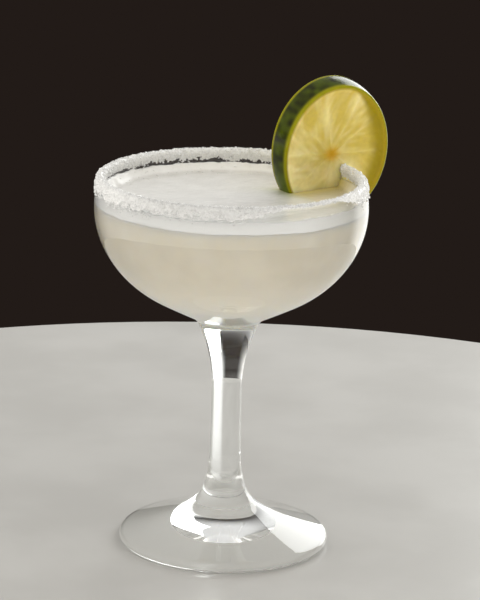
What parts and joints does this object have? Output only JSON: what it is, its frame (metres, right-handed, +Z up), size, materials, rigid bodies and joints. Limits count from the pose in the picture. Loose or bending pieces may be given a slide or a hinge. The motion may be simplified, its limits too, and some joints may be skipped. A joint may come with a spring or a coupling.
{
  "type": "margarita cocktail in a coupe glass",
  "caption": "Cloudy margarita with a foam layer in a clear stemmed coupe glass, with a salted rim and a lime wheel slotted onto the lip.",
  "frame": {"origin": "middle of the foot's flat underside, on the axis of the glass", "axes": "+Z up along the stem, +X to the right and +Y away from the viewer in the picture"},
  "size_m": [0.1048, 0.0974, 0.1678],
  "materials": {
    "clear_glass": "clear and polished",
    "drink": "cloudy pale liquid",
    "foam": "fine off-white foam",
    "salt": "white crystals",
    "lime": "moist yellow-green flesh and green rind"
  },
  "bodies": {
    "root": {"glass": "clear_glass", "drink": "drink", "foam": "foam", "salt_rim": "salt", "lime_wheel": "lime"}
  },
  "joints": []
}
